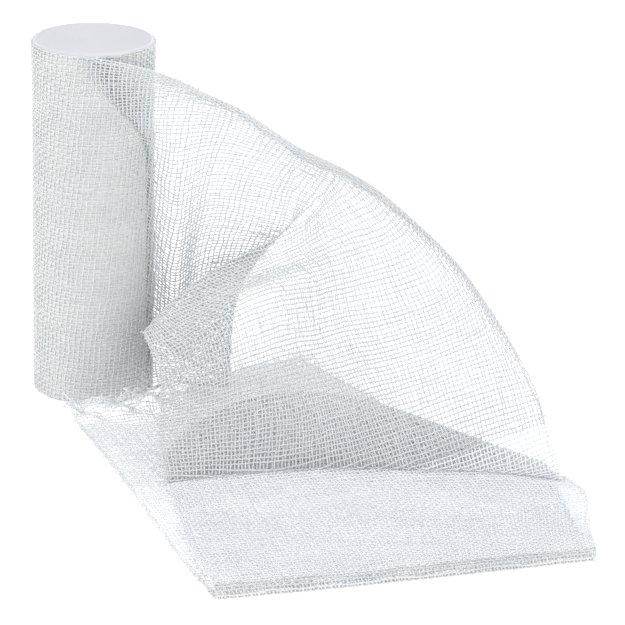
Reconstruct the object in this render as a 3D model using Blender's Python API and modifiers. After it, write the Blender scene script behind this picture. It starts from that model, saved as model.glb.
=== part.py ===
"""Gauze bandage roll standing on its end, with the loose end of the same strip pulled out.

The loose end leaves the roll at the front, stands as a panel with one deep pleat, comes down as
a front panel, is tucked under itself, runs forward along the surface, folds under at the front
and runs back to the foot of the roll. Lengths in the constants and the table are millimetres.
"""

import math

import bmesh
import bpy
import numpy as np

MM = 0.001
NAME = "gauze_bandage_roll"

STRIP_WIDTH = 100.0
SHEET_THICKNESS = 1.0
PIECE_GAP = 0.3

ROLL_RADIUS = 16.3
ROLL_HEIGHT = 100.0
ROLL_RIM = 0.7
TOP_FLARE = 0.5
TOP_FLARE_HEIGHT = 14.0
TOP_DISH = 0.6
ROLL_STEPS = 72

# Where the strip leaves the roll, as angles round its axis from +X. The upper edge lets go first.
UPPER_LEAVES_AT = -100.0
LOWER_LEAVES_AT = -28.0
SLANT_WIDTH = 32.0
HELD_ARC = 6.0

# At a fold the cloth turns back in this much room, over this length on both sides of the fold.
# Where its two sides part by more than this cosine says, past a right angle, the fold is open.
FOLD_ROOM = 2.2
FOLD_REACH = 1.8
OPEN_COSINE = 0.6

LENGTH_STEP = 6.0
LEAST_STEPS = 2
COLUMNS_BETWEEN_STATIONS = (2, 8, 4, 4)

# Which side the arriving cloth lies on at a fold.
NO_FOLD = (0.0, 0.0, 0.0)
BEHIND = (0.0, 1.0, 0.0)
ABOVE = (0.0, 0.0, 1.0)

# Millimetres across the strip, from its upper and outer edge to its lower and inner edge.
STATIONS = (0.0, 8.0, 40.0, 70.0, 100.0)

# One row for each section or fold, in order along the strip. Its columns are the name, the
# side of the arriving cloth, and the places (x, y, z) of the outer edge, the crest beside it,
# the pleat's top end, the inner part and the inner edge.
SECTIONS = (
    ("beside the roll", NO_FOLD,
     (18, -16.5, 95), (19.5, -15, 87), (22, -6, 57), (22, -2.5, 29), (22, -3, 2.2)),
    ("standing panel", NO_FOLD,
     (38.5, -6, 80.8), (37, -10.5, 84.2), (31.5, -10, 56), (28.5, -7, 28.5), (28.5, -5, 2.2)),
    ("pleat, back fold", BEHIND,
     (57, -3.5, 66.5), (55.5, -8.5, 71.4), (51, -15, 51.5), (39.5, -9.5, 31), (37.5, -7, 2.2)),
    ("pleat, front fold", BEHIND,
     (68, -3, 62), (66.5, -8, 65.9), (54, -18, 52.5), (33, -21.5, 42), (13.6, -25, 25)),
    ("front panel, shoulder", NO_FOLD,
     (77.5, -5, 55.9), (76, -10, 60.6), (58.4, -22.4, 49), (37.3, -26.3, 39.2), (15.3, -30.3, 21.6)),
    ("front panel, top", NO_FOLD,
     (86, -7, 50), (84.5, -12, 54), (63, -26, 45), (41.5, -30, 36), (17.3, -35, 18.5)),
    ("front panel, middle", NO_FOLD,
     (102, -21, 37), (100.5, -24, 40.2), (68, -39, 32), (43, -44, 23.5), (17.8, -46, 14.5)),
    ("front panel, low", NO_FOLD,
     (116, -46, 19.2), (109, -49, 21), (79, -57, 16), (47, -61, 12.5), (17, -62, 10)),
    ("foot of the front panel", ABOVE,
     (122, -76, 4.9), (114, -73.5, 5.2), (80, -69, 5.5), (48, -71, 5.5), (18.5, -79, 5.5)),
    ("back of the tuck", ABOVE,
     (117, -65, 4.8), (107, -57, 5.5), (66, -27, 8), (37, -33, 7.5), (18, -61, 5)),
    ("under the foot", NO_FOLD,
     (127, -79, 2.1), (119, -77, 2.1), (83, -74, 2.1), (49, -76, 2.1), (20, -83, 2.1)),
    ("top layer", NO_FOLD,
     (126.3, -106, 2.1), (118.5, -107, 2.1), (87, -112, 2.1), (56, -117, 2.1), (24.5, -122, 2.1)),
    ("front fold", ABOVE,
     (125.5, -125, 1.4), (118, -127, 1.4), (88, -135, 1.4), (59, -142.5, 1.4), (30, -149, 1.4)),
    ("under layer, front", NO_FOLD,
     (122.7, -100, 0.5), (114.5, -102, 0.5), (84, -108, 0.5), (51, -114, 0.5), (20.2, -120, 0.5)),
    ("under layer, middle", NO_FOLD,
     (117.7, -70, 0.5), (109.5, -71, 0.5), (76.5, -74, 0.5), (41.8, -78, 0.5), (10.4, -82, 0.5)),
    ("under layer, back", NO_FOLD,
     (90.5, -33, 0.5), (84, -35, 0.5), (57.5, -39, 0.5), (29.5, -44, 0.5), (1, -48, 0.5)),
    ("cut end", NO_FOLD,
     (57.5, 24, 0.5), (52, 20, 0.5), (32, 4, 0.5), (18.5, -16.5, 2.8), (-6.5, -20, 1)),
)


def clear_scene():
    for scene_object in list(bpy.data.objects):
        bpy.data.objects.remove(scene_object, do_unlink=True)


def gauze_material(name, colour, roughness):
    """Bleached cotton: white, matt, not metallic."""
    material = bpy.data.materials.new(name)
    material.use_nodes = True
    shader = material.node_tree.nodes["Principled BSDF"]
    shader.inputs["Base Color"].default_value = (*colour, 1.0)
    shader.inputs["Roughness"].default_value = roughness
    shader.inputs["Metallic"].default_value = 0.0
    return material


def object_from_bmesh(shape, name, material, collection):
    mesh = bpy.data.meshes.new(name)
    shape.to_mesh(mesh)
    shape.free()
    mesh.materials.append(material)
    made = bpy.data.objects.new(name, mesh)
    collection.objects.link(made)
    return made


def eased(share):
    """0 to 1, level at both ends."""
    share = np.clip(share, 0.0, 1.0)
    return share * share * (3.0 - 2.0 * share)


def roll_radius(height):
    """The turns spread a little at the top end of the roll."""
    return ROLL_RADIUS + TOP_FLARE * eased((height - ROLL_HEIGHT + TOP_FLARE_HEIGHT) / TOP_FLARE_HEIGHT)


def roll_profile():
    """Half outline of the roll from the middle of its top, down its side, to the middle of its foot."""
    top = roll_radius(ROLL_HEIGHT)
    flare_heights = np.linspace(ROLL_HEIGHT - ROLL_RIM, ROLL_HEIGHT - TOP_FLARE_HEIGHT, 6)
    return [
        (0.0, ROLL_HEIGHT - TOP_DISH),
        (top * 0.6, ROLL_HEIGHT - TOP_DISH * 0.8),
        (top - 2.0 * ROLL_RIM, ROLL_HEIGHT - TOP_DISH * 0.2),
        (top - ROLL_RIM, ROLL_HEIGHT),
        *((float(roll_radius(height)), float(height)) for height in flare_heights),
        (ROLL_RADIUS, ROLL_RIM),
        (ROLL_RADIUS - ROLL_RIM, 0.0),
        (0.0, 0.0),
    ]


def make_roll(collection):
    """The wound part of the strip, turned from its half outline, with a flat foot."""
    shape = bmesh.new()
    places = [shape.verts.new((radius * MM, 0.0, height * MM)) for radius, height in roll_profile()]
    for upper, lower in zip(places, places[1:]):
        shape.edges.new((upper, lower))
    material = gauze_material("wound_cotton_gauze", (0.80, 0.81, 0.81), 0.95)
    roll = object_from_bmesh(shape, "roll", material, collection)
    turn = roll.modifiers.new("turn", "SCREW")
    turn.angle = math.tau
    turn.steps = turn.render_steps = ROLL_STEPS
    turn.use_merge_vertices = True
    turn.merge_threshold = 0.00001
    turn.use_smooth_shade = True
    return roll


def smooth_through(places, knots, at):
    """A smooth curve through places, one for each knot, read at other values of the knots' scale."""
    steps = np.diff(knots)
    slopes = np.diff(places, axis=0) / steps[:, None]
    before, after = steps[:-1, None], steps[1:, None]
    tangents = np.empty_like(places)
    tangents[1:-1] = (slopes[:-1] * after + slopes[1:] * before) / (before + after)
    tangents[0] = 1.5 * slopes[0] - 0.5 * tangents[1]
    tangents[-1] = 1.5 * slopes[-1] - 0.5 * tangents[-2]
    span = np.clip(np.searchsorted(knots, at, "right") - 1, 0, len(steps) - 1)
    share = ((at - knots[span]) / steps[span])[:, None]
    reach = steps[span][:, None]
    return (
        places[span] * (2 * share**3 - 3 * share**2 + 1)
        + places[span + 1] * (3 * share**2 - 2 * share**3)
        + tangents[span] * reach * (share**3 - 2 * share**2 + share)
        + tangents[span + 1] * reach * (share**3 - share**2)
    )


def line_on_roll(across, held_arc):
    """The slanting line where the strip lets go of the roll, or one held_arc degrees before it."""
    slant = (LOWER_LEAVES_AT - UPPER_LEAVES_AT) * eased(across / SLANT_WIDTH)
    angle = np.radians(UPPER_LEAVES_AT + slant - held_arc)
    height = np.maximum(ROLL_HEIGHT - SHEET_THICKNESS / 2 - across * 0.985, 0.8)
    radius = roll_radius(height) + PIECE_GAP + SHEET_THICKNESS / 2
    return np.stack([radius * np.cos(angle), radius * np.sin(angle), height], axis=1)


def towards(start, end):
    step = end - start
    return step / np.linalg.norm(step, axis=1, keepdims=True)


def folded(row, before, after, side):
    """A fold as three rows: the arriving cloth, the fold and the leaving cloth, apart where it shuts."""
    back, ahead = towards(row, before), towards(row, after)
    cosine = (back * ahead).sum(axis=1, keepdims=True)
    shut = np.sqrt(np.clip((cosine + OPEN_COSINE) / (1.0 + OPEN_COSINE), 0.0, 1.0))
    apart = np.array(side) * shut * FOLD_ROOM / 2
    return [row + back * FOLD_REACH + apart, row, row + ahead * FOLD_REACH - apart]


def strip_rows(across):
    """Every row of places along the strip, each with one place for each value of across."""
    rows = [line_on_roll(across, HELD_ARC), line_on_roll(across, 0.0)]
    sides = [NO_FOLD, NO_FOLD]
    for _, side, *places in SECTIONS:
        rows.append(smooth_through(np.array(places, float), np.array(STATIONS), across))
        sides.append(side)
    finished = []
    for index, side in enumerate(sides):
        if side == NO_FOLD:
            finished.append(rows[index])
        else:
            finished += folded(rows[index], rows[index - 1], rows[index + 1], side)
    return np.array(finished)


def strip_surface(across):
    """The middle of the cloth as a grid of places, closer together where rows are close."""
    rows = strip_rows(across)
    lengths = np.linalg.norm(np.diff(rows, axis=0), axis=2)
    steps = np.maximum(np.round(lengths.mean(axis=1) / LENGTH_STEP), LEAST_STEPS).astype(int)
    lines = []
    for places, pieces in zip(rows.transpose(1, 0, 2), lengths.T):
        knots = np.concatenate([[0.0], np.cumsum(np.sqrt(pieces))])
        at = [np.linspace(a, b, n, endpoint=False) for a, b, n in zip(knots, knots[1:], steps)]
        lines.append(smooth_through(places, knots, np.concatenate([*at, knots[-1:]])))
    grid = np.array(lines).transpose(1, 0, 2)
    grid[:, :, 2] = np.maximum(grid[:, :, 2], SHEET_THICKNESS / 2)
    return grid


def values_across():
    spans = zip(STATIONS, STATIONS[1:], COLUMNS_BETWEEN_STATIONS)
    parts = [np.linspace(start, end, columns, endpoint=False) for start, end, columns in spans]
    return np.concatenate([*parts, [STRIP_WIDTH]])


def make_loose_end(collection):
    """The loose end: a grid laid on the strip's surface, given the cloth's thickness both ways."""
    grid = strip_surface(values_across()) * MM
    row_count, column_count = grid.shape[:2]
    shape = bmesh.new()
    bmesh.ops.create_grid(shape, x_segments=column_count - 1, y_segments=row_count - 1, size=0.5)
    shape.verts.ensure_lookup_table()
    for vertex, place in zip(shape.verts, grid.reshape(-1, 3)):
        vertex.co = place
    material = gauze_material("loose_cotton_gauze", (0.83, 0.84, 0.85), 0.95)
    loose_end = object_from_bmesh(shape, "loose_end", material, collection)
    loose_end.data.shade_smooth()
    thickness = loose_end.modifiers.new("thickness", "SOLIDIFY")
    thickness.thickness = SHEET_THICKNESS * MM
    thickness.offset = 0.0
    return loose_end


def main():
    clear_scene()
    collection = bpy.data.collections.new(NAME)
    bpy.context.scene.collection.children.link(collection)
    make_roll(collection)
    make_loose_end(collection)


main()
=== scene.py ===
"""Looks of the gauze bandage roll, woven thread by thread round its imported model.

The strip is one open plain weave. Its last turn on the roll, its standing part and its lying
part follow the same folds as the loose end's solid. Tables and threads are in millimetres, and
the settings and finished meshes in metres.
"""

import math

import bmesh
import bpy
import numpy as np
from bpy.props import FloatProperty, IntProperty, PointerProperty, StringProperty
from bpy.types import Operator, Panel, PropertyGroup
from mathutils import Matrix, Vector


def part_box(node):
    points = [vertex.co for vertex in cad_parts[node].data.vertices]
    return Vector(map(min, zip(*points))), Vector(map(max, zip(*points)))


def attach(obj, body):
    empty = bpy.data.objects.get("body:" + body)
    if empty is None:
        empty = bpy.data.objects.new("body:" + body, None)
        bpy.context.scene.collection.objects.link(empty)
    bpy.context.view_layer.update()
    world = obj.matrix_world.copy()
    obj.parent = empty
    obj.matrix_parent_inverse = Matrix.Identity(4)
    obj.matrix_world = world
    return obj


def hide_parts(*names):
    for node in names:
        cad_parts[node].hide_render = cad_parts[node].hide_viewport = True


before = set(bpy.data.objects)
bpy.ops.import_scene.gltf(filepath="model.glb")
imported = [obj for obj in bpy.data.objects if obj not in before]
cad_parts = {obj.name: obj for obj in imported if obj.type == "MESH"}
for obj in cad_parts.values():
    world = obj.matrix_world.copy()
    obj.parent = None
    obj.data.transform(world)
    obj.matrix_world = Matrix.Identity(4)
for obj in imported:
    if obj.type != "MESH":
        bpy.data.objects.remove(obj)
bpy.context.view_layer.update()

bl_info = {
    "name": "Gauze bandage roll",
    "version": (1, 0, 0),
    "blender": (4, 5, 0),
    "location": "3D View > Sidebar > Gauze roll",
    "description": "Weaves the looks of a gauze bandage roll round its packed model",
    "category": "Object",
}

MM = 0.001

# Points of a mesh that are closer than this, in metres, are made one.
WELD = 0.000002

# The frame's own sizes. The roll's solid is wider at its top end, by the flare over its height.
ROLL_LOW, ROLL_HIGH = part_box("roll")
ROLL_HEIGHT = (ROLL_HIGH.z - ROLL_LOW.z) / MM
TOP_FLARE = 0.5
TOP_FLARE_HEIGHT = 14.0
ROLL_RADIUS = (ROLL_HIGH.x - ROLL_LOW.x) / MM / 2 - TOP_FLARE

# Height of the middle of the cloth over the roll's solid, for the last turn and the one under it.
# The turns further in are one wound core, whose side is this far inside the solid's.
LAST_TURN_LIFT = -0.05
UNDER_TURN_LIFT = -0.3
CORE_INSET = 0.2

# The last turn's upper edge is this far under the roll's top end, and its lower edge at least so
# far over the foot. Wound up, the strip is slightly less high than it is wide, by this share.
EDGE_BELOW_TOP = 0.5
EDGE_ABOVE_FOOT = 0.8
HEIGHT_FOR_WIDTH = 0.985

# At its top end the roll spreads by this much on average, and is a little out of round, by waves
# given as how many times they go round it, their size and their phase.
MEAN_FLARE = 0.25
OUT_OF_ROUND = ((2, 0.28, 0.7), (3, 0.16, 2.1), (5, 0.07, 4.0))

# Where the strip leaves the roll, as angles round its axis from +X. The upper edge lets go first.
# From it the leaving line slants over this width, and the row before it is this arc further back.
UPPER_LEAVES_AT = -100.0
LOWER_LEAVES_AT = -28.0
SLANT_WIDTH = 32.0
HELD_ARC = 6.0

# At a fold the cloth turns back in this much room, over this length on both sides of the fold.
# Where its two sides part by more than this cosine says, past a right angle, the fold is open.
# No crossing is lower over the floor than the last of these.
FOLD_ROOM = 1.2
FOLD_REACH = 1.8
OPEN_COSINE = 0.6
LOWEST_CLOTH = 0.47

# The side the arriving cloth lies on at a fold, and how much of the room it takes.
NO_FOLD = (0.0, 0.0, 0.0)
BEHIND = (0.0, 1.0, 0.0)
ABOVE = (0.0, 0.0, 1.0)
WELL_ABOVE = (0.0, 0.0, 1.7)

# Millimetres across the strip, from its upper and outer edge to its lower and inner edge.
STATIONS = (0.0, 8.0, 40.0, 70.0, 100.0)

# The rows of the solid's own table, in order along the strip. The lying layers are closer here,
# because the real cloth is thinner than the solid. The columns are the row's name, the side of
# the arriving cloth, and the places (x, y, z) of the outer edge, the crest beside it, the
# pleat's top end, the inner part and the inner edge.
SECTIONS = (
    ("beside the roll", NO_FOLD,
     (18, -16.5, 95), (19.5, -15, 87), (22, -6, 57), (22, -2.5, 29), (22, -3, 2.2)),
    ("standing panel", NO_FOLD,
     (38.5, -6, 80.8), (37, -10.5, 84.2), (31.5, -10, 56), (28.5, -7, 28.5), (28.5, -5, 2.2)),
    ("pleat, back fold", BEHIND,
     (57, -3.5, 66.5), (55.5, -8.5, 71.4), (51, -15, 51.5), (39.5, -9.5, 31), (37.5, -7, 2.2)),
    ("pleat, front fold", BEHIND,
     (68, -3, 62), (66.5, -8, 65.9), (54, -18, 52.5), (33, -21.5, 42), (13.6, -25, 25)),
    ("front panel, shoulder", NO_FOLD,
     (77.5, -5, 55.9), (76, -10, 60.6), (58.4, -22.4, 49), (37.3, -26.3, 39.2), (15.3, -30.3, 21.6)),
    ("front panel, top", NO_FOLD,
     (86, -7, 50), (84.5, -12, 54), (63, -26, 45), (41.5, -30, 36), (17.3, -35, 18.5)),
    ("front panel, middle", NO_FOLD,
     (102, -21, 37), (100.5, -24, 40.2), (68, -39, 32), (43, -44, 23.5), (17.8, -46, 14.5)),
    ("front panel, low", NO_FOLD,
     (116, -46, 19.2), (109, -49, 21), (79, -57, 16), (47, -61, 12.5), (17, -62, 10)),
    ("foot of the front panel", ABOVE,
     (122, -75, 2.2), (114, -72.3, 2.3), (80, -67.5, 2.4), (48, -69, 2.4), (18.5, -76.5, 2.4)),
    ("back of the tuck", ABOVE,
     (117, -65, 3.2), (107, -57, 4.2), (66, -27, 7.8), (37, -33, 7.2), (18, -61, 3.8)),
    ("under the foot", NO_FOLD,
     (127, -79, 1.2), (119, -77, 1.2), (83, -74, 1.2), (49, -76, 1.2), (20, -83, 1.2)),
    ("top layer", NO_FOLD,
     (126.3, -106, 1.3), (118.5, -107, 1.3), (87, -112, 1.4), (56, -117, 1.5), (24.5, -122, 1.6)),
    ("front fold", WELL_ABOVE,
     (125.5, -127, 1.4), (118, -129, 1.4), (88, -137, 1.4), (59, -144.5, 1.4), (30, -151, 1.4)),
    ("under layer, front", NO_FOLD,
     (122.7, -100, 0.5), (114.5, -102, 0.5), (84, -108, 0.5), (51, -114, 0.5), (20.2, -120, 0.5)),
    ("under layer, middle", NO_FOLD,
     (117.7, -70, 0.5), (109.5, -71, 0.5), (76.5, -74, 0.5), (41.8, -78, 0.5), (10.4, -82, 0.5)),
    ("under layer, back", NO_FOLD,
     (90.5, -33, 0.5), (84, -35, 0.5), (57.5, -39, 0.5), (29.5, -44, 0.5), (1, -48, 0.5)),
    ("cut end", NO_FOLD,
     (57.5, 24, 0.5), (52, 20, 0.5), (32, 4, 0.5), (18.5, -17.5, 3.2), (-8, -21.5, 1.5)),
)

# The row from which the wefts run straight again, and those at which two pieces meet.
LYING_STARTS_AT = "top layer"
PIECES_MEET_AT = ("foot of the front panel", "front fold")

# At the front fold this many wefts on each side are seen singly, with nothing under them.
FOLD_WEFTS = 4

# The open weave has slid on itself where it stands. For each row: which warps, in millimetres
# across, lie at its three inner places, and how far the wefts run ahead of it at all five.
SLID_WEAVE = {
    "beside the roll": ((13.3, 35.9, 62.6), (-10.2, -7.5, 0.9, 4.4, 0.1)),
    "standing panel": ((7.4, 42.0, 70.3), (2.4, -1.2, 0.8, 2.7, -5.8)),
    "pleat, back fold": ((15.3, 46.3, 73.3), (8.3, 1.1, 5.1, -0.4, -14.2)),
    "pleat, front fold": ((14.3, 44.4, 63.7), (3.7, -1.6, -4.5, 1.9, 11.8)),
    "front panel, shoulder": ((11.9, 39.8, 66.4), (7.1, -2.3, -2.3, 1.1, 10.3)),
    "front panel, top": ((8.3, 39.3, 72.4), (8.8, -2.4, -2.9, 1.9, 8.1)),
    "front panel, middle": ((4.5, 37.3, 75.8), (6.7, -3.8, -1.8, 1.3, 2.0)),
    "front panel, low": ((7.0, 34.1, 73.3), (4.9, 2.6, 0.3, -3.0, -5.1)),
    "foot of the front panel": ((6.8, 38.8, 71.5), (19.5, 13.5, -1.7, -8.4, -5.6)),
}

# On the roll the wefts lean by this much for each millimetre across.
WEFT_LEAN_ON_ROLL = 0.12

# Steps along every warp from one finished row to the next.
SAMPLES_BETWEEN_ROWS = 12

# The cut end slants by this share of what its outer edge runs further than its inner edge.
CUT_SLANT = 0.75

# The warps at each selvage stand closer together, this far from the edge and from the others.
SELVAGE_WARPS = 3
SELVAGE_SPACING = 0.55
SELVAGE_INSET = 0.2
SELVAGE_GAP = 1.0

# Threads wander, each by itself and together with its neighbours, over these lengths. Each
# shared wave has its own share of the whole, and neighbours count as this far apart.
OWN_WANDER = 0.09
OWN_WANDER_LENGTHS = (9.0, 23.0, 41.0)
SHARED_WANDER = 0.3
SHARED_WANDER_LENGTHS = (17.0, 29.0, 47.0, 71.0)
SHARED_WANDER_SHARES = (0.4, 1.0)
NEIGHBOUR_SPACING = 1.2

# At a crossing the warp and the weft stand apart by this share of what round yarns would need.
CRIMP = 0.85

# Yarn is thicker and thinner by this share, over this many crossings.
SLUBS = 0.1
SLUB_CROSSINGS = 5

# How far the loose ends of threads stand out, least and most: from the selvages, from those of
# the under layer, and from the cut end.
LOOSE_ENDS_OUT = (0.1, 1.0)
LYING_ENDS_OUT = (0.1, 2.6)
FRINGE_OUT = (1.0, 6.5)

# A loose end's steps at a selvage and in the fringe, how much it turns at each of them there, and
# the share of its rise that it keeps.
END_STEPS = 2
FRINGE_STEPS = 5
BEND = 0.22
CURL = 0.55
RISE_KEPT = 0.7

# The cut end is crumpled over this length, from this far across the strip on to its inner edge,
# setting in over the third length, in waves by size, length, slant and phase. Each pushes the
# cloth sideways by this share of its size.
CRUMPLE_LENGTH = 15.0
CRUMPLE_FROM = 56.0
CRUMPLE_SETS_IN = 12.0
CRUMPLE_WAVES = ((1.0, 13.0, 0.9, 0.4), (0.75, 7.5, -0.7, 2.2), (0.35, 4.3, 1.4, 1.1))
CRUMPLE_DRIFT = 0.7

# Patterns of the finishes: the length of a paler or duller patch, the width of a fibre or of a
# few together, and how far they stand out. A single fibre is too fine to show in the render.
YARN_PATTERN = (14.0, 0.35, 0.05)
WOUND_PATTERN = (9.0, 0.8, 0.2)

# The two noises together are between these values nearly everywhere.
PATTERN_RANGE = (0.12, 0.38)

# At the roll's top end the colour is painted darker and bluer, as painted shade between the edges of
# the turns. It begins at the first depth under the top end, and is full from the second.
PAINTED_TOP_SHADE_AT = (1.4, 0.9)

# The stage, in metres and watts. The lamps are round and aimed at the roll's foot, and their
# columns are the name, the place, the diameter and the power.
FLOOR_RADIUS = 6.0
FLOOR_GLOW = 0.95
WORLD_COLOUR = (0.985, 0.992, 1.0, 1.0)
WORLD_STRENGTH = 0.86
LAMPS = (
    ("key_light", (-1.7, -0.5, 0.6), 2.4, 14.0),
    ("fill_light", (1.7, -0.5, 0.7), 2.4, 11.0),
    ("far_light", (1.4, 1.0, 0.8), 2.0, 9.0),
    ("top_light", (0.0, 0.2, 1.8), 1.5, 1.0),
    ("front_light", (0.2, -1.7, 0.6), 2.0, 4.0),
)

# The camera, in metres and degrees, with its lens and sensor in millimetres. It looks at the aim
# and is then turned by so much to the right and up, at the aim's distance.
CAMERA_DISTANCE = 1.2
CAMERA_AIM = Vector((0.0, 0.0, 0.05))
CAMERA_DOWN = 18.2
CAMERA_LENS = 253.7
CAMERA_SENSOR = 36.0
CAMERA_TURN = (0.0597, -0.0266)


class GauzeWeave(PropertyGroup):
    """Sizes of the strip and its threads."""

    strip_width: FloatProperty(
        name="Strip width", description="Width of the strip, selvage to selvage",
        default=0.1, min=0.02, max=0.3, unit="LENGTH")
    warp_count: IntProperty(
        name="Warps", description="Threads that run along the strip", default=108, min=20, max=200)
    wefts_a_turn: IntProperty(
        name="Wefts in a turn", description="Threads across the strip in its last turn on the roll",
        default=70, min=16, max=160)
    warp_diameter: FloatProperty(
        name="Warp diameter", description="Thickness of a yarn that runs along the strip",
        default=0.00039, min=0.0001, max=0.001, unit="LENGTH", precision=5)
    weft_diameter: FloatProperty(
        name="Weft diameter", description="Thickness of a yarn that runs across the strip",
        default=0.00046, min=0.0001, max=0.001, unit="LENGTH", precision=5)
    turn_pitch: FloatProperty(
        name="Turn pitch", description="Distance between the turns shown at the roll's top end",
        default=0.00046, min=0.0002, max=0.002, unit="LENGTH", precision=5)
    seed: IntProperty(name="Seed", description="Which wandering the threads take", default=7)


class GauzeColours(PropertyGroup):
    """Colours, as sRGB hex values."""

    # One cotton yarn in lit and shaded copies. The lying layers' copy is painted lighter: painted
    # light.
    yarn: StringProperty(
        name="Yarn", description="Bleached cotton yarn in the lying layers", default="F0F2F4")
    yarn_shade: StringProperty(
        name="Yarn shade", description="Its thinner, duller places", default="E8EBEE")
    open_yarn: StringProperty(
        # The copy seen singly is painted darker: painted shade.
        name="Open yarn", description="The same yarn seen singly, where less light goes round in it",
        default="DEE0E2")
    open_yarn_shade: StringProperty(
        name="Open yarn shade", description="Its thinner, duller places", default="D3D6D8")
    # The copy on the roll is painted darker too: painted shade of the roll's side. Its shade colour is
    # mixed in by noise in random patches.
    wound: StringProperty(
        name="Wound gauze", description="The last turns and those seen through them", default="DCDEDD")
    wound_shade: StringProperty(
        name="Wound gauze shade", description="Its hollows", default="D4D6D6")
    # The roll's top end is painted darker and bluer: painted shade between the edges of its turns.
    top_end_painted_shade: StringProperty(
        name="Turn edges", description="The edges of the turns at the roll's top end", default="D3D4DA")
    floor: StringProperty(name="Floor", description="Plain pale floor", default="B8B8B8")


def linear_colour(hex_value):
    """An sRGB hex value as linear red, green, blue and alpha."""
    parts = [int(hex_value[at:at + 2], 16) / 255 for at in (0, 2, 4)]
    linear = [part / 12.92 if part <= 0.04045 else ((part + 0.055) / 1.055) ** 2.4 for part in parts]
    return (*linear, 1.0)


def add_node(tree, kind, inputs=None, links=None, **settings):
    """Adds one node with its settings, its input values and its links, as {input: output socket}."""
    node = tree.nodes.new(kind)
    for name, value in settings.items():
        setattr(node, name, value)
    for name, value in (inputs or {}).items():
        node.inputs[name].default_value = value
    for name, socket in (links or {}).items():
        tree.links.new(socket, node.inputs[name])
    return node


def empty_material(name):
    material = bpy.data.materials.new(name)
    material.use_nodes = True
    material.node_tree.nodes.clear()
    return material, material.node_tree


def cotton_material(name, light, dark, pattern):
    """Bleached cotton, spun and woven: soft and matt, with loose fibres that catch the light."""
    patch_mm, fibre_mm, bump_mm = pattern
    material, tree = empty_material(name)
    place = add_node(tree, "ShaderNodeTexCoord").outputs["Object"]
    patches = add_node(
        tree, "ShaderNodeTexNoise", {"Scale": 1.0 / (patch_mm * MM), "Detail": 3.0}, {"Vector": place})
    fibres = add_node(
        tree, "ShaderNodeTexNoise", {"Scale": 1.0 / (fibre_mm * MM), "Detail": 2.0}, {"Vector": place})
    blend = add_node(
        tree, "ShaderNodeMath", None,
        {0: patches.outputs["Fac"], 1: fibres.outputs["Fac"]}, operation="MULTIPLY")
    spread = add_node(
        tree, "ShaderNodeMapRange",
        {"From Min": PATTERN_RANGE[0], "From Max": PATTERN_RANGE[1]}, {"Value": blend.outputs["Value"]})
    colour = add_node(
        tree, "ShaderNodeMix", {"A": linear_colour(dark), "B": linear_colour(light)},
        {"Factor": spread.outputs["Result"]}, data_type="RGBA")
    relief = add_node(
        tree, "ShaderNodeBump",
        {"Strength": 0.6, "Distance": bump_mm * MM}, {"Height": fibres.outputs["Fac"]})
    shader = add_node(
        tree, "ShaderNodeBsdfPrincipled",
        {"Roughness": 0.95, "IOR": 1.5, "Specular IOR Level": 0.2,
         "Sheen Weight": 0.25, "Sheen Roughness": 0.6},
        {"Base Color": colour.outputs["Result"], "Normal": relief.outputs["Normal"]})
    add_node(tree, "ShaderNodeOutputMaterial", None, {"Surface": shader.outputs["BSDF"]})
    return material


def eased(share):
    """0 to 1, level at both ends."""
    share = np.clip(share, 0.0, 1.0)
    return share * share * (3.0 - 2.0 * share)


def roll_radius(height, angle=0.0):
    """The turns spread a little at the top end of the roll, and are out of round there."""
    share = eased((height - ROLL_HEIGHT + TOP_FLARE_HEIGHT) / TOP_FLARE_HEIGHT)
    spread = MEAN_FLARE
    for times, size, phase in OUT_OF_ROUND:
        spread = spread + size * np.sin(times * angle + phase)
    return ROLL_RADIUS + share * np.minimum(spread, TOP_FLARE)


def smooth_through(places, knots, at):
    """A smooth curve through places, one for each knot, read at other values of the knots' scale."""
    steps = np.diff(knots)
    slopes = np.diff(places, axis=0) / steps[:, None]
    before, after = steps[:-1, None], steps[1:, None]
    tangents = np.empty_like(places)
    tangents[1:-1] = (slopes[:-1] * after + slopes[1:] * before) / (before + after)
    tangents[0] = 1.5 * slopes[0] - 0.5 * tangents[1]
    tangents[-1] = 1.5 * slopes[-1] - 0.5 * tangents[-2]
    span = np.clip(np.searchsorted(knots, at, "right") - 1, 0, len(steps) - 1)
    share = ((at - knots[span]) / steps[span])[:, None]
    reach = steps[span][:, None]
    return (
        places[span] * (2 * share**3 - 3 * share**2 + 1)
        + places[span + 1] * (3 * share**2 - 2 * share**3)
        + tangents[span] * reach * (share**3 - 2 * share**2 + share)
        + tangents[span + 1] * reach * (share**3 - share**2)
    )


def height_on_roll(across):
    return np.maximum(ROLL_HEIGHT - EDGE_BELOW_TOP - across * HEIGHT_FOR_WIDTH, EDGE_ABOVE_FOOT)


def leaving_angle(across):
    return UPPER_LEAVES_AT + (LOWER_LEAVES_AT - UPPER_LEAVES_AT) * eased(across / SLANT_WIDTH)


def place_on_roll(across, degrees, lift):
    """Places on the roll for values across the strip and angles round the axis."""
    height = height_on_roll(across)
    angle = np.radians(degrees)
    radius = roll_radius(height, angle) + lift
    return np.stack([radius * np.cos(angle), radius * np.sin(angle), height + 0 * angle], axis=-1)


def towards(start, end):
    step = end - start
    return step / np.linalg.norm(step, axis=1, keepdims=True)


def folded(row, before, after, side):
    """A fold as three rows: the arriving cloth, the fold and the leaving cloth, apart if shut."""
    back, ahead = towards(row, before), towards(row, after)
    cosine = (back * ahead).sum(axis=1, keepdims=True)
    shut = np.sqrt(np.clip((cosine + OPEN_COSINE) / (1.0 + OPEN_COSINE), 0.0, 1.0))
    apart = np.array(side) * shut * FOLD_ROOM / 2
    return [row + back * FOLD_REACH + apart, row, row + ahead * FOLD_REACH - apart]


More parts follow.
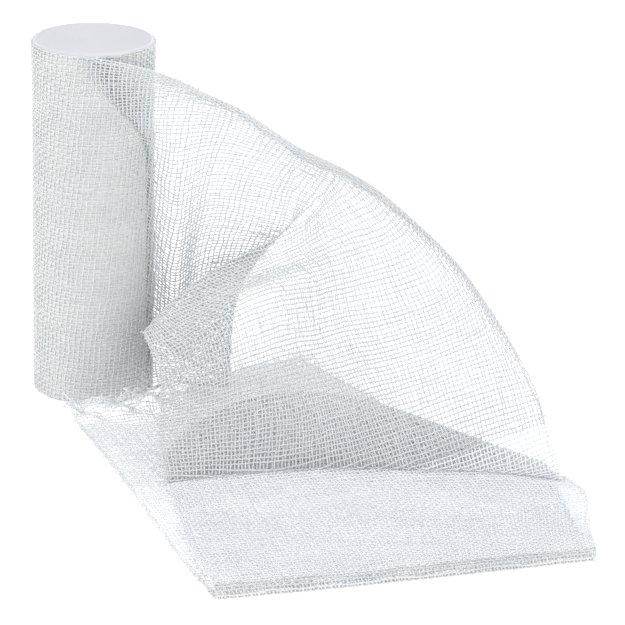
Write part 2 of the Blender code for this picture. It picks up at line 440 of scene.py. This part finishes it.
def strip_rows(across):
    """Names and places of every row along the strip, with one place for each value of across."""
    leaving = leaving_angle(across)
    rows = [place_on_roll(across, at, LAST_TURN_LIFT) for at in (leaving - HELD_ARC, leaving)]
    sides = [NO_FOLD, NO_FOLD]
    titles = ["held", "leaving"]
    for title, side, *places in SECTIONS:
        inner = SLID_WEAVE[title][0] if title in SLID_WEAVE else STATIONS[1:-1]
        knots = np.array([STATIONS[0], *inner, STATIONS[-1]])
        rows.append(smooth_through(np.array(places, float), knots, across))
        sides.append(side)
        titles.append(title)
    names, finished = [], []
    for index, side in enumerate(sides):
        made = [rows[index]]
        if side != NO_FOLD:
            made = folded(rows[index], rows[index - 1], rows[index + 1], side)
        finished += made
        names += [titles[index]] * len(made)
    return names, np.array(finished)


def middle_row(names, title):
    """Where a row stands among the finished ones, which are three at a fold."""
    return names.index(title) + names.count(title) // 2


def warp_places(weave):
    """Where each warp stands across the strip, closer together at the selvages."""
    inner = weave.warp_count - 2 * SELVAGE_WARPS
    selvage = np.arange(SELVAGE_WARPS) * SELVAGE_SPACING + SELVAGE_INSET
    width = weave.strip_width / MM
    middle = np.linspace(selvage[-1] + SELVAGE_GAP, width - selvage[-1] - SELVAGE_GAP, inner)
    return np.concatenate([selvage, middle, width - selvage[::-1]])


def wandering(rng, lines, steps, spacing):
    """How far each of some lines wanders at each step along it, alone and with its neighbours."""
    along = np.arange(steps) * spacing
    beside = np.arange(lines) * NEIGHBOUR_SPACING
    total = np.zeros((lines, steps))
    for length in OWN_WANDER_LENGTHS:
        phase = rng.uniform(0.0, math.tau, (lines, 1))
        total += OWN_WANDER * rng.normal(size=(lines, 1)) * np.sin(math.tau * along / length + phase)
    for length in SHARED_WANDER_LENGTHS:
        slant, phase = rng.uniform(-1.0, 1.0), rng.uniform(0.0, math.tau)
        wave = math.tau * (along[None, :] + slant * beside[:, None]) / length + phase
        size = SHARED_WANDER * rng.uniform(*SHARED_WANDER_SHARES)
        total += size * np.sin(wave) / len(SHARED_WANDER_LENGTHS)
    return total


class Strip:
    """The strip's crossings, as [weft, warp] grids, from its last turn on the roll to its cut end."""

    def __init__(self, weave):
        rng = np.random.default_rng(weave.seed)
        self.across = warp_places(weave)
        self.turn_radius = ROLL_RADIUS + LAST_TURN_LIFT
        self.spacing = math.tau * self.turn_radius / weave.wefts_a_turn
        self.lean = WEFT_LEAN_ON_ROLL * (self.across.mean() - self.across)
        names, rows = strip_rows(self.across)
        dense, marks = self.follow_warps(names, rows)
        first = -weave.wefts_a_turn
        self.travelled = np.arange(first, int(marks[-1].max() / self.spacing)) * self.spacing
        count = len(self.travelled)
        lead = wandering(rng, count, len(self.across), self.spacing)
        sway = wandering(rng, len(self.across), count, self.spacing).T
        at = self.travelled[:, None] + lead
        leaving = marks[SAMPLES_BETWEEN_ROWS]
        degrees = UPPER_LEAVES_AT + np.degrees((at + self.lean) / self.turn_radius)
        places = place_on_roll(np.broadcast_to(self.across, at.shape), degrees, LAST_TURN_LIFT)
        held = marks[0]
        for warp in range(len(self.across)):
            free = at[:, warp] > held[warp]
            reached = at[free, warp]
            for axis in range(3):
                places[free, warp, axis] = np.interp(reached, marks[:, warp], dense[:, warp, axis])
        sideways = np.gradient(places, self.across, axis=1)
        self.places = places + sideways * sway[:, :, None]
        self.crumple_cut_end(marks[-1])
        self.places[:, :, 2] = np.maximum(self.places[:, :, 2], LOWEST_CLOTH)
        normals = np.cross(np.gradient(self.places, axis=0), np.gradient(self.places, axis=1))
        self.normals = normals / np.linalg.norm(normals, axis=2, keepdims=True)
        self.free = self.travelled[:, None] > leaving[None, :]
        self.uncut = self.travelled[:, None] < marks[-1][None, :]
        meeting = [middle_row(names, title) * SAMPLES_BETWEEN_ROWS for title in PIECES_MEET_AT]
        ends = [marks[sample].mean() for sample in meeting]
        self.foot, self.front = (int(np.searchsorted(self.travelled, end)) for end in ends)

    def crumple_cut_end(self, cut_at):
        """The cut end stands up in small waves where it was pushed against the roll's foot."""
        left = cut_at[None, :] - self.travelled[:, None]
        inner = eased((self.across - CRUMPLE_FROM) / CRUMPLE_SETS_IN)
        share = eased(1.0 - left / CRUMPLE_LENGTH) * inner
        height, drift = np.zeros_like(share), np.zeros_like(share)
        for size, length, slant, phase in CRUMPLE_WAVES:
            wave = math.tau * (self.across + slant * left) / length + phase
            height += size * (1.0 + np.sin(wave))
            drift += size * CRUMPLE_DRIFT * np.cos(wave)
        self.places[:, :, 2] += share * height
        self.places[:, :, 0] += share * drift

    def follow_warps(self, names, rows):
        """Close places along every warp, and how far along the strip the wefts put each of them."""
        lengths = np.linalg.norm(np.diff(rows, axis=0), axis=2)
        count = len(rows)
        steps = np.linspace(0, count - 1, (count - 1) * SAMPLES_BETWEEN_ROWS + 1)
        lines = []
        for places, pieces in zip(rows.transpose(1, 0, 2), lengths.T):
            knots = np.concatenate([[0.0], np.cumsum(np.sqrt(pieces))])
            lines.append(smooth_through(places, knots, np.interp(steps, np.arange(count), knots)))
        dense = np.array(lines).transpose(1, 0, 2)
        pieces = np.linalg.norm(np.diff(dense, axis=0), axis=2)
        run = np.concatenate([np.zeros((1, len(self.across))), np.cumsum(pieces, axis=0)])
        on_roll = np.radians(leaving_angle(self.across) - UPPER_LEAVES_AT) * self.turn_radius
        run = run - run[SAMPLES_BETWEEN_ROWS] + on_roll
        at_rows = run[::SAMPLES_BETWEEN_ROWS]
        level = at_rows.mean(axis=1)
        known, ahead = [1], [at_rows[1] - level[1] - self.lean]
        for title, (_, bow) in SLID_WEAVE.items():
            known.append(middle_row(names, title))
            ahead.append(smooth_through(np.array(bow)[:, None], np.array(STATIONS), self.across)[:, 0])
        known.append(middle_row(names, LYING_STARTS_AT))
        ahead.append(np.zeros(len(self.across)))
        own_last, mean_last = at_rows[-1] - at_rows[-2], level[-1] - level[-2]
        known += [count - 2, count - 1]
        ahead += [np.zeros(len(self.across)), CUT_SLANT * (own_last - mean_last)]
        bows = [np.interp(level, level[known], line) for line in np.array(ahead).T]
        counted = level[:, None] + np.array(bows).T
        share = np.empty_like(run)
        for row in range(count - 1):
            part = slice(row * SAMPLES_BETWEEN_ROWS, (row + 1) * SAMPLES_BETWEEN_ROWS + 1)
            span = run[part][-1] - run[part][0]
            done = (run[part] - run[part][0]) / span
            share[part] = counted[row] + done * (counted[row + 1] - counted[row])
        return dense, np.maximum.accumulate(share, axis=0)

    def threads(self, weave, chosen, loose_ends, fringe, rng):
        """The warps and wefts through the chosen crossings, over and under each other in turn."""
        warp_lines, weft_lines = woven(self.places, self.normals, weave)
        ends_out = LYING_ENDS_OUT if fringe else LOOSE_ENDS_OUT
        lines = []
        for line, taken in zip(warp_lines.transpose(1, 0, 2), chosen.T):
            line = line[taken]
            if len(line) > 1 and fringe:
                line = with_tail(line, rng, FRINGE_OUT, FRINGE_STEPS, CURL)
            lines.append((line, weave.warp_diameter))
        for line, taken in zip(weft_lines, chosen):
            line = line[taken]
            if len(line) > 1 and loose_ends and taken[-1]:
                line = with_tail(line, rng, ends_out, END_STEPS, BEND)
            if len(line) > 1 and loose_ends and taken[0]:
                line = with_tail(line[::-1], rng, ends_out, END_STEPS, BEND)
            lines.append((line, weave.weft_diameter))
        return [(line, diameter) for line, diameter in lines if len(line) > 1]


def woven(places, normals, weave):
    """The crossings as the warps and as the wefts pass them, over and under each other in turn."""
    wefts, warps = places.shape[:2]
    turn = np.where((np.arange(wefts)[:, None] + np.arange(warps)[None, :]) % 2, 1.0, -1.0)
    apart = (weave.warp_diameter + weave.weft_diameter) / MM / 4 * CRIMP
    lift = normals * (turn * apart)[:, :, None]
    return places + lift, places - lift


def with_tail(line, rng, reach, steps, bend):
    """The line carried on past its last place, in a slightly bent loose end."""
    step = towards(line[-2:-1], line[-1:])[0]
    length = rng.uniform(*reach) / steps
    tail = [line[-1]]
    for _ in range(steps):
        step = step + rng.normal(size=3) * bend
        step[2] *= RISE_KEPT
        step = step / np.linalg.norm(step)
        tail.append(tail[-1] + step * length)
    tail = np.array(tail[1:])
    tail[:, 2] = np.maximum(tail[:, 2], LOWEST_CLOTH)
    return np.concatenate([line, tail])


def finished_piece(mesh, name, material):
    """A piece at the origin that rides the roll, with the finish it is given."""
    mesh.materials.append(material)
    piece = bpy.data.objects.new(name, mesh)
    bpy.context.scene.collection.objects.link(piece)
    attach(piece, "root")
    return piece


def yarn_piece(threads, name, material, rng):
    """Every line as a slightly uneven yarn, made by a curve's own bevel."""
    curve = bpy.data.curves.new(name + "_lines", "CURVE")
    curve.dimensions = "3D"
    # Half of each point's own value, which is the yarn's diameter.
    curve.bevel_depth = 0.5
    curve.bevel_resolution = 0
    curve.use_fill_caps = True
    for line, diameter in threads:
        spline = curve.splines.new("POLY")
        spline.points.add(len(line) - 1)
        spline.points.foreach_set("co", np.column_stack([line * MM, np.ones(len(line))]).ravel())
        knots = rng.normal(1.0, SLUBS, len(line) // SLUB_CROSSINGS + 2)
        at = np.arange(len(line)) / SLUB_CROSSINGS
        spline.points.foreach_set("radius", diameter * np.interp(at, np.arange(len(knots)), knots))
    helper = bpy.data.objects.new(name + "_lines", curve)
    bpy.context.scene.collection.objects.link(helper)
    bpy.context.view_layer.update()
    evaluated = helper.evaluated_get(bpy.context.evaluated_depsgraph_get())
    shape = bmesh.new()
    shape.from_mesh(evaluated.to_mesh())
    evaluated.to_mesh_clear()
    bmesh.ops.remove_doubles(shape, verts=shape.verts, dist=WELD)
    bpy.data.objects.remove(helper)
    bpy.data.curves.remove(curve)
    mesh = bpy.data.meshes.new(name)
    shape.to_mesh(mesh)
    shape.free()
    mesh.shade_smooth()
    return finished_piece(mesh, name, material)


def yarn_material(name):
    """Cotton yarn in lit and shaded copies: painted brightest in the lying layers as painted light, and
    painted duller on the roll and where it is seen singly as painted shade.
    """
    colours = bpy.context.scene.gauze_colours
    light, dark = {
        "lying_yarn_painted_light": (colours.yarn, colours.yarn_shade),
        "wound_yarn_painted_shade": (colours.wound, colours.wound_shade),
        "single_yarn_painted_shade": (colours.open_yarn, colours.open_yarn_shade),
    }[name]
    return bpy.data.materials.get(name) or cotton_material(name, light, dark, YARN_PATTERN)


def wound_material():
    """Gauze wound up, painted darker as painted shade of the roll, and darker and bluer at the roll's
    top end as painted shade where only the edges of its turns show.
    """
    colours = bpy.context.scene.gauze_colours
    material = cotton_material(
        "wound_cotton_gauze", colours.wound, colours.wound_shade, WOUND_PATTERN)
    tree = material.node_tree
    shader = tree.nodes["Principled BSDF"]
    place = tree.nodes["Texture Coordinate"].outputs["Object"]
    height = add_node(tree, "ShaderNodeSeparateXYZ", None, {"Vector": place})
    begins, full = ((ROLL_HEIGHT - depth) * MM for depth in PAINTED_TOP_SHADE_AT)
    painted_top_shade_share = add_node(
        tree, "ShaderNodeMapRange",
        {"From Min": begins, "From Max": full}, {"Value": height.outputs["Z"]})
    # Painted shade over the top end, laid over the wound colour.
    ends = add_node(
        tree, "ShaderNodeMix", {"B": linear_colour(colours.top_end_painted_shade)},
        {"Factor": painted_top_shade_share.outputs["Result"], "A": shader.inputs["Base Color"].links[0].from_socket},
        data_type="RGBA")
    tree.links.new(ends.outputs["Result"], shader.inputs["Base Color"])
    return material


class GAUZE_OT_wind_core(Operator):
    """Turns the wound body of the roll, with the edges of its turns at the top end"""

    bl_idname = "gauze.wind_core"
    bl_label = "Wind the core"

    # The radius of the rounded rims, the depth of the dish at the top end and the height of the
    # ridges in it. Under the rim the side has its own rings, from this depth, then one at the waist.
    rim = 1.1
    rim_angles = (90, 65, 40, 20, 0)
    dish = 0.7
    ridge = 0.07
    side_from = 3.0
    waist = 50.0
    around = 96

    def outline(self, weave):
        """Half outline from the middle of the top end, over the edges of the turns, down the side."""
        side = ROLL_RADIUS - CORE_INSET
        rings = int((side - self.rim) / (weave.turn_pitch / MM))
        profile = [(0.0, ROLL_HEIGHT - self.dish)]
        for ring in range(1, 2 * rings):
            radius = (side - self.rim) * ring / (2 * rings)
            height = ROLL_HEIGHT - self.dish * (1.0 - (radius / side) ** 3)
            profile.append((radius, height + self.ridge * (-1) ** ring))
        for turn in np.radians(self.rim_angles):
            radius = side - self.rim + self.rim * math.cos(turn)
            profile.append((radius, ROLL_HEIGHT - self.rim + self.rim * math.sin(turn)))
        for height in np.linspace(ROLL_HEIGHT - self.side_from, ROLL_HEIGHT - TOP_FLARE_HEIGHT, 5):
            profile.append((side, float(height)))
        foot = [(side, self.rim), (side - self.rim, 0.0), (0.0, 0.0)]
        return profile + [(side, self.waist)] + foot

    def execute(self, context):
        shape = bmesh.new()
        profile = self.outline(context.scene.gauze_weave)
        places = [shape.verts.new((radius * MM, 0.0, height * MM)) for radius, height in profile]
        edges = [shape.edges.new(pair) for pair in zip(places, places[1:])]
        bmesh.ops.spin(
            shape, geom=places + edges, cent=(0, 0, 0), axis=(0, 0, 1), angle=math.tau,
            steps=self.around, use_merge=True)
        bmesh.ops.remove_doubles(shape, verts=shape.verts, dist=WELD)
        bmesh.ops.recalc_face_normals(shape, faces=shape.faces)
        for vert in shape.verts:
            wider = roll_radius(vert.co.z / MM, math.atan2(vert.co.y, vert.co.x)) / ROLL_RADIUS
            vert.co.xy *= float(wider)
        mesh = bpy.data.meshes.new("wound_core")
        shape.to_mesh(mesh)
        shape.free()
        mesh.shade_smooth()
        # The core takes the wound gauze painted darker, with painted shade at its top end.
        core = finished_piece(mesh, "wound_core", wound_material())
        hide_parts("roll")
        return {"FINISHED"}


class GAUZE_OT_weave_turns(Operator):
    """Weaves the strip's last turn on the roll and the turn under it"""

    bl_idname = "gauze.weave_turns"
    bl_label = "Weave the outer turns"

    def execute(self, context):
        weave = context.scene.gauze_weave
        rng = np.random.default_rng(weave.seed + 1)
        strip = Strip(weave)
        turn_start = np.roll(strip.free, -weave.wefts_a_turn, axis=0)
        turn_start[-weave.wefts_a_turn:] = True
        on_roll = ~strip.free & turn_start
        threads = strip.threads(weave, reach_one_more(on_roll), False, False, rng)
        # The last turn takes the yarn painted darker: painted shade.
        last = yarn_piece(threads, "last_turn", yarn_material("wound_yarn_painted_shade"), rng)
        length = weave.wefts_a_turn * strip.spacing * MM
        self.under_turn(weave, strip, length)
        return {"FINISHED"}

    def under_turn(self, weave, strip, length):
        """One whole turn under the last one, half a thread out of step with it."""
        rng = np.random.default_rng(weave.seed + 2)
        wefts = weave.wefts_a_turn
        degrees = (np.arange(wefts + 1) + 0.5) * 360.0 / wefts
        across = (strip.across[1:] + strip.across[:-1]) / 2
        sway = wandering(rng, len(across), wefts + 1, strip.spacing).T
        lead = wandering(rng, wefts + 1, len(across), strip.spacing)
        at = degrees[:, None] + np.degrees(lead / strip.turn_radius)
        places = place_on_roll(across[None, :] + sway, at, UNDER_TURN_LIFT)
        places[-1] = places[0]
        outward = places * (1, 1, 0) / np.linalg.norm(places * (1, 1, 0), axis=2, keepdims=True)
        warp_lines, weft_lines = woven(places, outward, weave)
        threads = [(line, weave.warp_diameter) for line in warp_lines.transpose(1, 0, 2)]
        threads += [(line, weave.weft_diameter) for line in weft_lines[:-1]]
        # The turn under it takes the yarn painted darker: painted shade.
        under = yarn_piece(threads, "under_turn", yarn_material("wound_yarn_painted_shade"), rng)


def reach_one_more(chosen):
    """The chosen crossings and the next weft's, so that the threads of two pieces meet."""
    wider = chosen.copy()
    wider[1:] |= chosen[:-1]
    return wider


class GAUZE_OT_weave_loose_end(Operator):
    """Weaves the standing and the lying part of the loose end"""

    bl_idname = "gauze.weave_loose_end"
    bl_label = "Weave the loose end"

    def execute(self, context):
        weave = context.scene.gauze_weave
        rng = np.random.default_rng(weave.seed + 3)
        strip = Strip(weave)
        count = strip.travelled.size
        standing = self.weave_part(strip, weave, "standing_gauze", 0, strip.foot, rng)
        fold_from, fold_to = strip.front - FOLD_WEFTS, strip.front + FOLD_WEFTS
        upper = self.weave_part(strip, weave, "upper_layer", strip.foot, fold_from, rng)
        fold = self.weave_part(strip, weave, "front_fold", fold_from, fold_to, rng)
        under = self.weave_part(strip, weave, "under_layer", fold_to, count, rng)
        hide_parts("loose_end")
        return {"FINISHED"}

    def weave_part(self, strip, weave, name, first, end, rng):
        """A piece woven of the free wefts from first to end, and the length of strip in it."""
        wefts = np.arange(strip.travelled.size)[:, None]
        chosen = strip.free & strip.uncut & (wefts >= first) & (wefts < end)
        length = float(chosen.sum(axis=0).mean()) * strip.spacing * MM
        fringe = end == strip.travelled.size
        wider = chosen if fringe else reach_one_more(chosen)
        threads = strip.threads(weave, wider, True, fringe, rng)
        single = name in ("standing_gauze", "front_fold")
        # Cloth seen singly takes the yarn painted darker, as painted shade; the lying layers take it
        # painted lighter, as painted light.
        material = yarn_material("single_yarn_painted_shade" if single else "lying_yarn_painted_light")
        return yarn_piece(threads, name, material, rng), length


class GAUZE_OT_set_stage(Operator):
    """Sets the pale floor, the soft light and the camera"""

    bl_idname = "gauze.set_stage"
    bl_label = "Set the stage"

    def execute(self, context):
        self.lay_floor(context)
        self.light(context)
        self.place_camera(context)
        return {"FINISHED"}

    def lay_floor(self, context):
        """A floor of opal acrylic, lit from below too, so it stays white right up to the cloth."""
        material, tree = empty_material("opal_acrylic_floor")
        shader = add_node(
            tree, "ShaderNodeBsdfPrincipled",
            {"Base Color": linear_colour(context.scene.gauze_colours.floor), "Roughness": 0.8,
             "Specular IOR Level": 0.1, "Emission Color": (1.0, 1.0, 1.0, 1.0),
             "Emission Strength": FLOOR_GLOW})
        add_node(tree, "ShaderNodeOutputMaterial", None, {"Surface": shader.outputs["BSDF"]})
        shape = bmesh.new()
        bmesh.ops.create_circle(shape, cap_ends=True, segments=64, radius=FLOOR_RADIUS)
        mesh = bpy.data.meshes.new("floor")
        shape.to_mesh(mesh)
        shape.free()
        mesh.materials.append(material)
        floor = bpy.data.objects.new("floor", mesh)
        context.scene.collection.objects.link(floor)

    def light(self, context):
        world = bpy.data.worlds.new("soft_studio")
        world.use_nodes = True
        background = world.node_tree.nodes["Background"]
        background.inputs["Color"].default_value = WORLD_COLOUR
        background.inputs["Strength"].default_value = WORLD_STRENGTH
        context.scene.world = world
        context.scene.view_settings.view_transform = "Standard"
        for name, place, size, power in LAMPS:
            lamp = bpy.data.lights.new(name, "AREA")
            lamp.shape = "DISK"
            lamp.size = size
            lamp.energy = power
            light = bpy.data.objects.new(name, lamp)
            light.location = place
            light.rotation_euler = (-Vector(place)).to_track_quat("-Z", "Y").to_euler()
            context.scene.collection.objects.link(light)

    def place_camera(self, context):
        """The camera looks down on the roll, then is turned until the roll stands at the left."""
        down = math.radians(CAMERA_DOWN)
        forward = Vector((0.0, math.cos(down), -math.sin(down)))
        up = Vector((0.0, math.sin(down), math.cos(down)))
        aim = forward * CAMERA_DISTANCE + Vector((1, 0, 0)) * CAMERA_TURN[0] + up * CAMERA_TURN[1]
        data = bpy.data.cameras.new("camera")
        data.lens = CAMERA_LENS
        data.sensor_width = CAMERA_SENSOR
        data.clip_end = 20.0
        camera = bpy.data.objects.new("camera", data)
        camera.location = CAMERA_AIM - forward * CAMERA_DISTANCE
        camera.rotation_mode = "QUATERNION"
        camera.rotation_quaternion = forward.rotation_difference(aim) @ forward.to_track_quat("-Z", "Y")
        context.scene.collection.objects.link(camera)
        context.scene.camera = camera


class GAUZE_PT_panel(Panel):
    """Lists the sizes, colours and steps of the gauze roll"""

    bl_idname = "GAUZE_PT_panel"
    bl_label = "Gauze roll"
    bl_space_type = "VIEW_3D"
    bl_region_type = "UI"
    bl_category = "Gauze roll"

    def draw(self, context):
        for group in (context.scene.gauze_weave, context.scene.gauze_colours):
            for name in group.__annotations__:
                self.layout.prop(group, name)
        for operator in OPERATORS:
            self.layout.operator(operator.bl_idname)


OPERATORS = (GAUZE_OT_wind_core, GAUZE_OT_weave_turns, GAUZE_OT_weave_loose_end, GAUZE_OT_set_stage)
CLASSES = (GauzeWeave, GauzeColours, *OPERATORS, GAUZE_PT_panel)


def register():
    for each in CLASSES:
        bpy.utils.register_class(each)
    bpy.types.Scene.gauze_weave = PointerProperty(type=GauzeWeave)
    bpy.types.Scene.gauze_colours = PointerProperty(type=GauzeColours)


def unregister():
    del bpy.types.Scene.gauze_colours
    del bpy.types.Scene.gauze_weave
    for each in reversed(CLASSES):
        bpy.utils.unregister_class(each)


def main():
    register()
    bpy.ops.gauze.wind_core()
    bpy.ops.gauze.weave_turns()
    bpy.ops.gauze.weave_loose_end()
    bpy.ops.gauze.set_stage()


if __name__ == "__main__":
    main()
